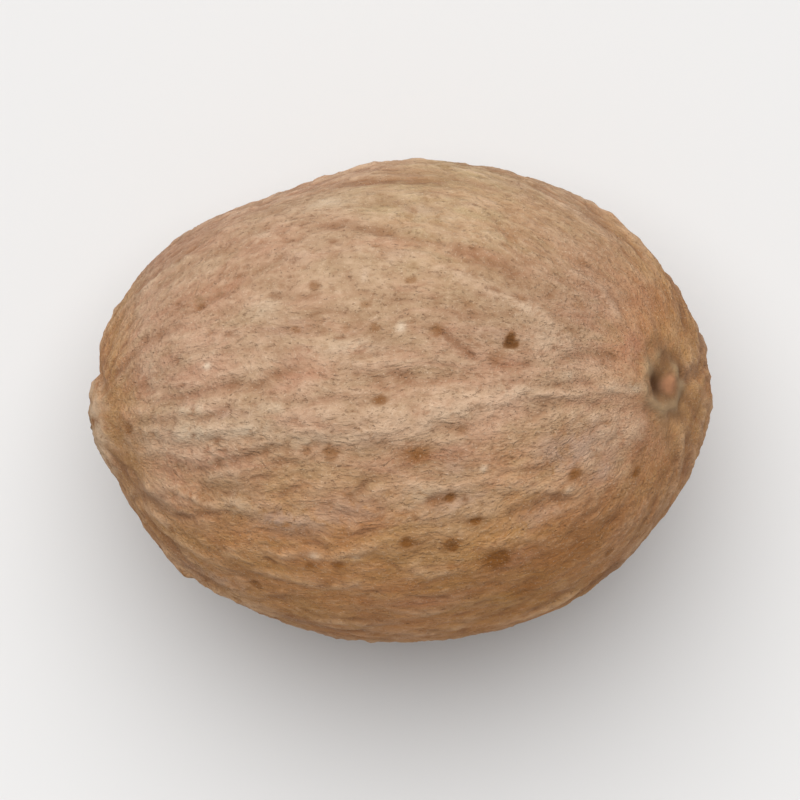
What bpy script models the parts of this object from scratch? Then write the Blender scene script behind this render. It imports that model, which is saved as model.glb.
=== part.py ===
"""A whole nutmeg: one dried seed kernel, lying on its side as it comes to rest.

The long axis is X. The chalaza, a small pit, is on the upper side near the +X
end. The hilum, a low knob where the seed hung, is the -X end. The raphe, a low
ridge between two shallow grooves, runs over the top from one to the other.
The origin is under the kernel's middle, on the small flat that it rests on.
"""
import math

import bmesh
import bpy
from mathutils import Matrix, Vector, noise

# Driving sizes, in metres.
LENGTH = 0.0295
WIDTH = 0.0229
HEIGHT = 0.0220
FLAT_DEPTH = 0.00028
SNAP = 0.00002

# The grid on each side of the starting cube, which sets how fine the facets are.
CUTS = 25

# Swellings (+) and hollows (-) of the egg: the direction from the middle that each
# one faces, how wide it spreads in degrees, and its height as a part of the radius.
SWELLINGS = {
    "fuller shoulder": ((0.50, 0.84, 0.20), 30.0, 0.020),
    "flattened cheek": ((-0.42, 0.88, 0.10), 13.0, -0.048),
    "blunt corner": ((-0.05, 1.00, 0.05), 5.0, 0.006),
    "slack lower end": ((0.92, -0.38, -0.10), 16.0, -0.042),
    "slack upper end": ((0.93, 0.36, 0.00), 14.0, -0.018),
    "slack lower side": ((0.60, -0.78, -0.20), 14.0, -0.030),
    "fuller hilum end": ((-0.92, 0.38, 0.00), 26.0, 0.038),
    "fuller hilum side": ((-0.76, -0.63, 0.00), 16.0, 0.026),
    "dip below the hilum": ((-0.91, -0.41, 0.05), 6.0, -0.020),
    "notch above the hilum": ((-0.991, 0.130, 0.00), 2.5, -0.016),
    "hilum knob": ((-0.994, -0.09, 0.02), 8.0, 0.026),
    "crown": ((0.15, -0.10, 0.98), 24.0, 0.012),
    "flatter belly side": ((-0.45, 0.60, -0.66), 18.0, -0.018),
    "fuller belly side": ((0.30, -0.30, -0.90), 26.0, 0.010),
}

# The chalaza: where it faces, how wide its rim and its pit are in degrees, and how
# high and how deep they are as parts of the radius.
CHALAZA = Vector((0.843, 0.062, 0.534)).normalized()
CHALAZA_RIM = 6.5
CHALAZA_RIM_HEIGHT = 0.010
CHALAZA_PIT = 3.6
CHALAZA_PIT_DEPTH = 0.034

# The raphe: its sideways place at stations along the length, both as parts of the
# half sizes, its width, and the height of its ridge as a part of the radius.
RAPHE_ROUTE = (
    (-1.00, -0.060), (-0.75, -0.080), (-0.50, -0.055), (-0.17, -0.070),
    (0.14, -0.020), (0.43, 0.085), (0.80, 0.062),
)
RAPHE_WIDTH = 0.075
RAPHE_HEIGHT = 0.011

# Lengthwise ribs and slow lumps that keep the kernel from being a smooth egg.
RIB_COUNT = 11
RIB_HEIGHT = 0.0035
LUMP_SCALE = 2.3
LUMP_HEIGHT = 0.012

SKIN_COLOUR = (0.40, 0.245, 0.150, 1.0)
SKIN_ROUGHNESS = 0.82


def bell(distance, spread):
    """1 at no distance, falling smoothly to almost nothing at twice the spread."""
    return math.exp(-0.5 * (distance / spread) ** 2)


def degrees_between(first, second):
    return math.degrees(first.angle(second))


def raphe_place(along):
    """Sideways place of the raphe at a station, eased from one route point to the next."""
    for (start, from_side), (end, to_side) in zip(RAPHE_ROUTE, RAPHE_ROUTE[1:]):
        if along <= end:
            share = max(0.0, (along - start) / (end - start))
            eased = share * share * (3.0 - 2.0 * share)
            return from_side + (to_side - from_side) * eased
    return RAPHE_ROUTE[-1][1]


def raphe_relief(facing):
    """A low ridge with a shallow groove along each side, on the upper half only."""
    if facing.z <= 0.0:
        return 0.0
    side = (facing.y - raphe_place(facing.x)) / RAPHE_WIDTH
    ridge = bell(side, 0.6) - 0.5 * bell(side - 1.6, 0.6) - 0.5 * bell(side + 1.6, 0.6)
    return RAPHE_HEIGHT * ridge * min(1.0, 2.0 * facing.z)


def chalaza_relief(facing):
    off = degrees_between(facing, CHALAZA)
    rim = CHALAZA_RIM_HEIGHT * bell(off, CHALAZA_RIM)
    return rim - CHALAZA_PIT_DEPTH * bell(off, CHALAZA_PIT)


def rib_relief(facing):
    """Ribs that run lengthwise, wander a little and die out at both ends."""
    around = math.atan2(facing.z, facing.y)
    wander = 1.5 * noise.noise(facing * 1.7)
    return RIB_HEIGHT * math.cos(RIB_COUNT * around + wander) * (1.0 - facing.x ** 2)


def relief(facing):
    """How far the kernel stands out of a plain ellipsoid, as a part of its radius."""
    total = LUMP_HEIGHT * noise.noise(facing * LUMP_SCALE)
    for direction, spread, height in SWELLINGS.values():
        total += height * bell(degrees_between(facing, Vector(direction)), spread)
    return total + raphe_relief(facing) + chalaza_relief(facing) + rib_relief(facing)


def blow_up_cube(bm):
    """A cube with an even grid on its sides, blown up to a ball of radius 1."""
    bmesh.ops.create_cube(bm, size=2.0)
    bmesh.ops.subdivide_edges(bm, edges=bm.edges[:], cuts=CUTS, use_grid_fill=True)
    for vert in bm.verts:
        vert.co = Vector([math.tan(part * math.pi / 4.0) for part in vert.co]).normalized()


def box_of(bm):
    lows = Vector([min(vert.co[axis] for vert in bm.verts) for axis in range(3)])
    highs = Vector([max(vert.co[axis] for vert in bm.verts) for axis in range(3)])
    return lows, highs


def fit_to_sizes(bm):
    """Scales the kernel to its sizes with its lowest point under z = 0 by the flat's depth."""
    lows, highs = box_of(bm)
    sizes = Vector((LENGTH, WIDTH, HEIGHT + FLAT_DEPTH))
    middle = (lows + highs) / 2.0
    scale = Matrix.Diagonal([sizes[axis] / (highs[axis] - lows[axis]) for axis in range(3)]).to_4x4()
    lift = Matrix.Translation((0.0, 0.0, HEIGHT - sizes.z / 2.0))
    bmesh.ops.transform(bm, matrix=lift @ scale @ Matrix.Translation(-middle), verts=bm.verts[:])


def cut_flat(bm):
    """Cuts the belly off at z = 0 and closes it with the one flat face that it rests on."""
    everything = bm.verts[:] + bm.edges[:] + bm.faces[:]
    bmesh.ops.bisect_plane(bm, geom=everything, dist=SNAP, plane_no=(0.0, 0.0, -1.0), clear_outer=True)
    rim = [edge for edge in bm.edges if edge.is_boundary]
    for edge in rim:
        for vert in edge.verts:
            vert.co.z = 0.0
    bmesh.ops.holes_fill(bm, edges=rim)


def skin_material():
    material = bpy.data.materials.new("nutmeg_skin")
    material.use_nodes = True
    shader = material.node_tree.nodes["Principled BSDF"]
    shader.inputs["Base Color"].default_value = SKIN_COLOUR
    shader.inputs["Roughness"].default_value = SKIN_ROUGHNESS
    shader.inputs["Metallic"].default_value = 0.0
    return material


def nutmeg_mesh():
    bm = bmesh.new()
    blow_up_cube(bm)
    for vert in bm.verts:
        vert.co *= 1.0 + relief(vert.co)
    fit_to_sizes(bm)
    cut_flat(bm)
    bmesh.ops.triangulate(bm, faces=bm.faces[:])
    mesh = bpy.data.meshes.new("nutmeg")
    bm.to_mesh(mesh)
    bm.free()
    mesh.shade_smooth()
    mesh.materials.append(skin_material())
    return mesh


def main():
    for old in list(bpy.data.objects):
        bpy.data.objects.remove(old, do_unlink=True)
    collection = bpy.data.collections.new("whole_nutmeg")
    bpy.context.scene.collection.children.link(collection)
    collection.objects.link(bpy.data.objects.new("nutmeg", nutmeg_mesh()))


main()
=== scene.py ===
"""Looks of a whole nutmeg: wrinkled skin over its CAD solid, a pale floor and soft light.

Fine ridges, wrinkles and pits are modelled on the CAD solid's form, in lines that run from
the hilum, the knob at the -X end, to the chalaza, the dark pit near the +X end. The same
functions paint the skin's points, and the material turns this paint into colour.
"""

import math
import random

import bmesh
import bpy
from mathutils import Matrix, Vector, noise
from mathutils.bvhtree import BVHTree
from mathutils.kdtree import KDTree


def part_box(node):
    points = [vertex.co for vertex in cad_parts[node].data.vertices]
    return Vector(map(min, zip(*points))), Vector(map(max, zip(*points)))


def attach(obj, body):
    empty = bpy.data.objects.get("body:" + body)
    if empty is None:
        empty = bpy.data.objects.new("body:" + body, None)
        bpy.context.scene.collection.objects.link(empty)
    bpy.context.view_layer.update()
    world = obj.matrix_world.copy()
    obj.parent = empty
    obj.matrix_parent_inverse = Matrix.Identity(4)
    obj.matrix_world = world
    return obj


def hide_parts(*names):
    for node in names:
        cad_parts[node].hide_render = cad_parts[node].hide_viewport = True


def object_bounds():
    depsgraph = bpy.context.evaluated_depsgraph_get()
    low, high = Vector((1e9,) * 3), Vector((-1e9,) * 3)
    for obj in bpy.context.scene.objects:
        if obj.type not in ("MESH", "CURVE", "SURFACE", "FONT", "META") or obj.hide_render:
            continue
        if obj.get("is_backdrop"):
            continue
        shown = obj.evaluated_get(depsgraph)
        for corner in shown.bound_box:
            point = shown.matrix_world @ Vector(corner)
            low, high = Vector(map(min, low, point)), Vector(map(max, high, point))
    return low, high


MM = 0.001

# The wandering of lines and routes is the same in every run.
NOISE_SEED = 3

# The skin's mesh: cuts along each edge of the starting cube, how far its points are drawn
# towards the top, rounds of smoothing, and how much of its part of the map a side fills.
SKIN_CUTS = 127
TOP_LEAN = 0.15
FORM_SMOOTHING = 8
MERGE_DISTANCE = 0.001 * MM
MAP_FILLED = 0.985

# Which way the hilum and the chalaza face from the middle, on a ball of radius 1, and the
# least distance from them that counts.
HILUM = Vector((-0.992, -0.115, 0.030)).normalized()
CHALAZA = Vector((0.843, 0.060, 0.535)).normalized()
AXIS = (CHALAZA - HILUM).normalized()
SIDEWAYS = AXIS.cross(Vector((0.0, 0.0, 1.0))).normalized()
UPWARDS = SIDEWAYS.cross(AXIS)
NEAREST = 1e-3
NEAREST_SQUARED = 1e-4
MEAN_RADIUS = 11.6 * MM

# The lengthwise relief: its cells' width in mm, how many times longer they are, and an
# offset that keeps the kinds apart; heights in mm. The net and the creases come and go in
# patches: how small these are, their offset, and where they start and are full.
FURROW_CELLS = (3.6, 2.8, 3.0)
FURROW_HEIGHT = 0.1
NET_CELLS = (1.6, 2.4, 17.0)
NET_HEIGHT = 0.075
NET_SHARPNESS = 0.11
NET_PATCHES = (4.0, (9.0, 0.0, 0.0), -0.35, 0.25)
NET_FAINTEST = 0.35
WRINKLE_CELLS = (0.85, 1.5, 41.0)
WRINKLE_HEIGHT = 0.055
WORM_CELLS = (0.52, 1.3, 53.0)
WORM_HEIGHT = 0.06
WORM_SHARPNESS = 0.24
CREASE_CELLS = (1.25, 3.2, 67.0)
CREASE_HEIGHT = 0.06
CREASE_SHARPNESS = 0.08
CREASE_PATCHES = (6.0, (0.0, 5.0, 0.0), -0.05, 0.35)
GRAIN_SIZE = 0.4
GRAIN_HEIGHT = 0.016
TIGHTEST = 9.0
TIGHT_ENDS = (2.4, 4.2)

# Crest paint of the net, the worms and the wrinkles' tops, hollow paint of the creases, the
# gaps and the wrinkles' bottoms, and where top and bottom begin. Crest paint is partly paler
# ridge skin, partly painted light on the tops; hollow paint is partly darker furrow skin,
# partly painted shade in the recesses.
CREST_SHARES = (0.6, 0.35, 0.8)
HOLLOW_SHARES = (0.8, 0.3, 0.9)
WRINKLE_TOP = 0.1
WRINKLE_BOTTOM = 0.15

# How the lines wander: the size of the bends and the shift, on the ball.
BENDS = ((0.3, 0.04), (0.1, 0.013))

# Relief is drawn where the skin faces this far up, and this much of the chance relief goes.
DRAWN_FACING = (0.1, 0.5)
CHANCE_LOST = 0.5

# Ridges (strength over 0) and furrows (under 0) seen from above, in mm: strength, half
# width, then the x and y of each place on the way. First the raphe's strands and furrows,
# then the skin over them (+Y), then that under them. Their paint is partly the skin's own
# tone, partly painted light on the ridges and painted shade in the furrows.
STROKES = (
    (1, 0.3, -12.2, -1.65, -10.5, -1.55, -9.5, -1.45, -8.8, -1.45, -7.8, -1.35, -6.6, -1.3),
    (0.6, 0.18, -13, -0.35, -11.5, -0.75, -10.6, -0.6, -9.6, -0.3, -8.6, -0.05, -7.4, 0.05),
    (0.8, 0.34, -12.8, -2.2, -11.6, -2.4, -10, -2.5, -8, -2.35, -6.8, -2, -5, -1.8),
    (0.5, 0.18, -10.8, 0.75, -9.3, 0.95), (0.8, 0.28, -5.4, -0.8, -4.2, -0.7, -3.2, -0.6),
    (0.7, 0.25, -5.8, -1.6, -4.4, -1.4, -3.2, -1.75),
    (1, 0.42, -2.8, -1.4, -1.5, -0.85, -0.4, -0.75, 0.8, -1, 1.6, -0.8),
    (0.8, 0.35, -2.4, -1.9, -1.2, -1.7, -0.1, -1.6, 1.3, -1.6),
    (1, 0.3, 0.8, -0.65, 2, -0.45, 3.2, -0.3, 4.3, -0.1, 5.3, 0.1, 6, 0.4, 7.4, 0.35),
    (0.6, 0.22, 7, 0.3, 8.4, 0.3, 9.8, 0.5, 11.1, 0.45),
    (0.6, 0.18, 1.3, 0.3, 2.3, 0.6, 3.4, 0.8, 5, 1.2, 6.8, 1.4),
    (0.5, 0.2, -5.3, 0.4, -4.2, 0.75, -3, 0.5, -1.2, 0.3),
    (0.5, 0.2, 1.4, -2, 2.5, -1.95, 3.4, -1.65, 4.8, -1.3, 6.6, -1.2),
    (0.6, 0.35, 7, -0.85, 8.5, -0.7, 9.6, -0.65), (0.9, 0.42, 9.4, -0.95, 10.4, -1, 11.3, -1.2),
    (0.3, 0.6, 9.8, 0.1, 11.2, 0), (0.4, 0.6, 6.4, -2.8, 7.2, -2.4, 8, -1.9),
    # The stroke below also lifts the shaded side under the raphe ridge with its pale paint: painted light.
    (0.6, 0.5, 9.5, -1.7, 10.6, -1.65, 11.7, -1.1),
    (-1, 0.2, -11.4, 0.1, -10, 0.25, -9, 0.5, -7.8, 0.6, -6.9, 0.65, -6.3, 1.15, -5, 1.4),
    (-0.9, 0.15, -9.8, -0.9, -8.8, -0.65, -8.2, -0.4, -7.2, -0.55),
    (-0.4, 0.15, -12.6, -1.05, -11, -0.95, -9.6, -0.9), (-0.4, 0.16, -12.4, -0.1, -11.2, -0.1, -10, 0),
    (-0.6, 0.14, -6.2, 0.05, -5, -0.05, -3.4, 0.1, -2, -0.05, -0.6, 0),
    (-0.5, 0.28, -2.8, 1.5, -1.9, 1.3, -1, 1, 0, 1.1, 1, 0.9, 2.3, 1.25, 3.6, 1.25),
    (-0.7, 0.18, -0.8, 1.4, 0.1, 1.3, 1, 1.25), (-0.7, 0.18, 1.6, -1.15, 2.4, -1.3, 3.5, -1.45),
    # The first stroke below lifts the shade under the raphe crest with its pale paint: painted light.
    (0.6, 0.3, -2.6, -1.75, -1.6, -1.4, -0.6, -1.3), (-0.8, 0.2, 4.2, 1.75, 5.4, 1.75, 6.7, 1.85),
    (-0.7, 0.15, 4.8, 0.9, 6.2, 0.85, 7.2, 0.7, 8, 0.8, 8.9, 0.9, 9.6, 0.7),
    (-0.4, 0.26, 6.6, -0.1, 7.2, -0.1), (-0.8, 0.17, 7.6, -0.1, 8.6, -0.1, 9.9, -0.2),
    (-0.4, 0.18, 6.9, -0.3, 6.4, -0.8, 5.9, -0.9),

    (0.5, 0.25, -8.8, 1.2, -7.6, 1.4, -6.8, 1.9, -4.8, 2.2), (0.5, 0.3, -8.9, 3.1, -8, 3.3, -7.3, 3.1),
    (0.5, 0.38, -10.6, 2.6, -9.2, 2.7), (0.9, 0.2, -2.7, 1.9, -1.8, 1.7, -1, 1.7),
    (0.6, 0.16, -0.9, 1.9, 0.6, 1.9, 2, 2.2), (0.6, 0.33, -3.9, 2.5, -2.9, 2.65, -1.9, 2.5),
    (0.4, 0.2, -5.4, 2.2, -4.4, 2.5), (0.6, 0.16, -0.1, 3.1, -0.1, 3.9), (0.5, 0.3, 2.5, 3.8, 3.4, 3.5),
    (0.4, 0.15, 3.6, 3.1, 3.9, 2.3), (0.8, 0.42, 6.1, 2.7, 7, 3, 8, 2.7),
    (0.6, 0.25, 7.8, 1.4, 8.8, 1.65, 9.6, 1.4), (0.5, 0.22, 11, 2.7, 11, 1.6, 10.9, 0.8),
    (0.8, 0.42, -7.2, 4.6, -6.1, 4.4), (0.5, 0.18, -4.6, 6, -3.5, 5.7),
    (0.9, 0.25, -2.8, 7.1, -1.5, 7.25, -0.4, 6.85, 0.6, 6.9, 1.4, 6.8), (0.5, 0.25, 0.9, 6.2, 2, 6.2),
    (0.6, 0.3, -1.1, 6.85, 0.3, 6.75), (0.5, 0.2, -1.8, 6.3, -1.7, 5.5),
    (0.8, 0.24, 2.3, 6.2, 3.4, 5.6, 4.2, 4.95, 5.4, 4.6, 6.6, 4.1, 7.4, 3.5), (0.5, 0.2, 0.2, 9.1, 1.5, 8.9),
    (0.5, 0.4, -2, 9.7, 0.4, 9.9), (0.5, 0.28, 3.2, 9.3, 4.6, 9.4), (0.5, 0.2, 3.6, 8, 5, 7.9),
    (0.6, 0.2, 7.8, 6.2, 8.8, 5.7, 9.3, 5.3), (0.6, 0.2, 9.4, 5.5, 10, 4.7, 10.6, 3.7),
    (0.4, 0.2, 5.8, 8.7, 7, 8.1, 7.9, 7.4), (-0.25, 0.28, -13, 0.6, -11.7, 0.5),
    (-0.6, 0.12, -10.7, 2.1, -10.6, 1.3), (-0.7, 0.22, -12.4, 2.7, -11.3, 3.4, -10.4, 3.8),
    (-0.5, 0.18, -8.6, 2.2, -7.5, 2.4, -6.8, 2.6),
    (-0.5, 0.16, -7.5, 3.6, -7, 3.1, -6, 3.3, -5.3, 3.4, -4.5, 3.3),
    (-0.8, 0.15, -4.8, 4, -3.9, 4.1, -2.7, 4.2, -1.9, 4.1),
    (-0.6, 0.24, -9.8, 4.5, -8.9, 5, -8.1, 5, -7.7, 5.7), (-0.5, 0.2, -8.8, 4.2, -7.8, 4.3),
    (-0.7, 0.15, -7.3, 5.5, -6.9, 6.2, -6.2, 6.6, -5.3, 7), (-0.6, 0.16, -6.3, 5.1, -5.5, 4.9),
    (-0.5, 0.12, -5.4, 5.2, -4.8, 6), (-0.7, 0.15, -2.6, 6.1, -2.1, 5.4), (-0.5, 0.16, -1, 4.7, 0.2, 4.9),
    (-0.8, 0.25, -4.8, 8.2, -3.4, 8.4, -2, 8.3, -1, 7.95, 0.2, 7.9, 1, 7.6, 1.9, 7.5),
    (-0.4, 0.16, -5.8, 7.6, -4, 7.7, -2.8, 7.5), (-0.4, 0.14, -1.2, 9.4, 0.2, 9.5),
    (-0.4, 0.14, 0.2, 10, 2.1, 10), (-0.6, 0.22, 1.5, 9.3, 2.2, 8.7),
    (-0.7, 0.15, 4.2, 8.9, 4.7, 8.3, 5.3, 7.6), (-0.9, 0.38, 2.2, 7.1, 3.4, 6.9, 4.3, 6.5, 5.1, 6.2, 6, 5.7),
    (-0.6, 0.22, 5.5, 4.9, 6.5, 4.8, 7.4, 5.2, 8.4, 4.9), (-0.5, 0.14, 4, 4.4, 5.5, 4.1),
    (-0.5, 0.14, 6.6, 8.9, 7.6, 8.2, 8.7, 7.5), (-0.4, 0.16, 10, 5.2, 10.8, 4.1),
    (-0.4, 0.22, 9.2, 3.6, 10.8, 3.2), (-0.7, 0.2, 1.2, 4.1, 1.6, 3.4),
    (-2.3, 0.13, 1.6, 3.6, 2.1, 3.2, 2.6, 2.8, 3.3, 2.2, 3.7, 1.8),
    (-0.6, 0.22, 7, 1.3, 7.8, 1.9, 8.6, 2.3, 9.6, 2.3, 10.6, 1.9),

    (0.6, 0.22, -9.2, -3.8, -8.3, -3.4, -7, -3.5),
    (1, 0.26, -12.2, -4, -10.9, -4.1, -10.2, -4.4, -9.6, -4.8, -9, -5, -8, -4.9, -7, -5.2),
    (0.9, 0.24, -7.2, -5, -6.4, -5.6, -5, -5.7, -3.4, -5.8), (0.5, 0.2, -13, -4.4, -12, -4.2, -11, -4.4),
    (0.5, 0.14, -10.8, -5.9, -9.9, -6.5, -8.9, -7.1),
    (0.9, 0.28, -6.8, -7.1, -5.6, -7.4, -4.4, -7.35, -2.2, -7.2, -0.6, -6.6),
    (0.7, 0.24, -7.4, -7.9, -6.2, -8.3, -5.2, -8.5, -3.6, -8.9, -1.4, -8.6),
    (0.5, 0.16, -8.6, -7.1, -7.6, -7.5, -6.8, -7.8), (0.5, 0.2, -4.7, -4.9, -4, -4.4, -3.5, -3.5),
    (0.7, 0.2, -1.6, -4.7, -0.9, -4.2, 0, -3.8, 0.9, -4.1, 2.4, -4.1, 3.4, -4.2),
    (0.5, 0.25, 1, -5.7, 1.9, -5.5), (0.65, 0.36, 2.1, -5.15, 3.2, -5.3, 4, -5.2, 4.9, -4.8),
    (1, 0.28, 4.4, -4.1, 5.6, -4, 6.6, -4.2, 7.4, -4.1, 8.6, -4.3),
    (0.4, 0.24, 4, -6.9, 5, -6.6, 5.9, -6.6, 7.8, -6.8),
    (0.6, 0.4, 0.3, -8.1, 1.3, -8.3, 2.2, -8.1, 3.1, -7.8), (0.5, 0.2, -0.6, -9.9, 0.5, -10.1, 2, -10),
    (0.5, 0.25, 10.2, -6.9, 10.9, -6, 11.5, -5.2, 12, -4.3), (0.4, 0.2, 5, -1.9, 6.3, -2.3, 7.2, -1.9),
    (-0.8, 0.24, -11.5, -3.35, -9.5, -3.2, -8.2, -3, -6.9, -2.65, -6.2, -2.3, -5.4, -2.4),
    # The second stroke below lifts the shade under the crest above it with its pale paint: painted light.
    (0.5, 0.6, -13, -2, -12, -2.1), (0.9, 0.5, -12.4, -4.4, -11.4, -4.9, -10, -5.2),
    (-0.6, 0.24, -9.7, -4.1, -8.8, -4.3, -8, -4.2, -6.6, -4.3),
    (-0.9, 0.15, -10.7, -5.6, -9.6, -5.6, -8.8, -5.35), (-0.8, 0.18, -8.6, -5.2, -7.8, -5.6, -7, -5.8),
    (-0.25, 0.3, -9, -6, -7.5, -6.2, -6, -6.2, -5, -6.5, -3.6, -6.4), (-1.1, 0.16, -6.5, -7.5, -5.9, -7.9),
    (-0.5, 0.2, -8.4, -8, -7.6, -8.3, -6.8, -8.8), (-0.7, 0.2, -6, -3, -4.8, -3.1),
    (-0.7, 0.16, -5.9, -4.7, -4.7, -4.1), (-1.4, 0.15, -1.55, -3.8, -1.95, -4.35, -2.5, -4.95),
    (-1.1, 0.14, -1.3, -4.7, -1.15, -5.05), (-1, 0.15, -0.95, -5.25, -0.5, -5.1),
    (-0.9, 0.18, 1.3, -4.9, 2.1, -4.55, 2.9, -4.6), (-0.8, 0.16, 3.1, -5.85, 3.9, -5.7),
    (-0.45, 0.25, 0, -6.8, 0.8, -7.05, 1.7, -7), (-0.3, 0.22, 3.6, -7.2, 4.4, -7.5),
    (-0.5, 0.2, -1.8, -6.3, -0.4, -6.1), (-0.8, 0.16, 0.2, -9.3, 1.2, -9.45, 2.5, -9.4),
    (-0.7, 0.14, 4.4, -3.4, 5.6, -3.35, 7.2, -3.3), (-1, 0.26, 4.9, -5.4, 6, -5.1, 7, -4.75, 8.4, -4.7),
    (-0.5, 0.2, 9.6, -5.1, 8.8, -5.7, 8, -6.4, 8.7, -6.9), (-0.7, 0.2, 9.6, -6, 10.4, -5.7),
    (-0.5, 0.14, 12.5, -4.7, 12, -5.7), (-0.5, 0.3, 5.4, -9, 6.4, -8.5), (-0.5, 0.25, 7.6, -2.4, 7.9, -3.1),
)
STROKE_HEIGHT = 0.115
STROKE_PAINT = 0.82
STROKE_TAPER = (-0.06, 0.14)
STROKE_REACH = 2.4
STROKE_EDGE = 0.8
STROKE_BREAKS = (0.6, 0.9, 0.85)
BEAD_SPACING = 0.12
BEAD_BENDS = 1.4
BEAD_WANDER = 0.16

# Ridges and furrows strewn over the rest of the skin: how many, how far up the ball they
# start, and their least and greatest length, half width and strength.
STROKE_SEED = 11
STRAY_STROKES = 380
STRAY_TOP = 0.36
STRAY_LENGTH = (1.0, 6.0)
STRAY_WIDTH = (0.15, 0.4)
STRAY_STRENGTH = (0.5, 1.15)

# How far round a spot its marks reach, how soft marks, hollows and stains are, and the
# bumps on a stain's edge.
SPOT_REACH = 2.6
MARK_EDGE = 0.75
HOLLOW_EDGE = 0.6
STAIN_EDGE = (0.65, 1.45)
STAIN_BUMPS = (0.35, 0.7)

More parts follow.
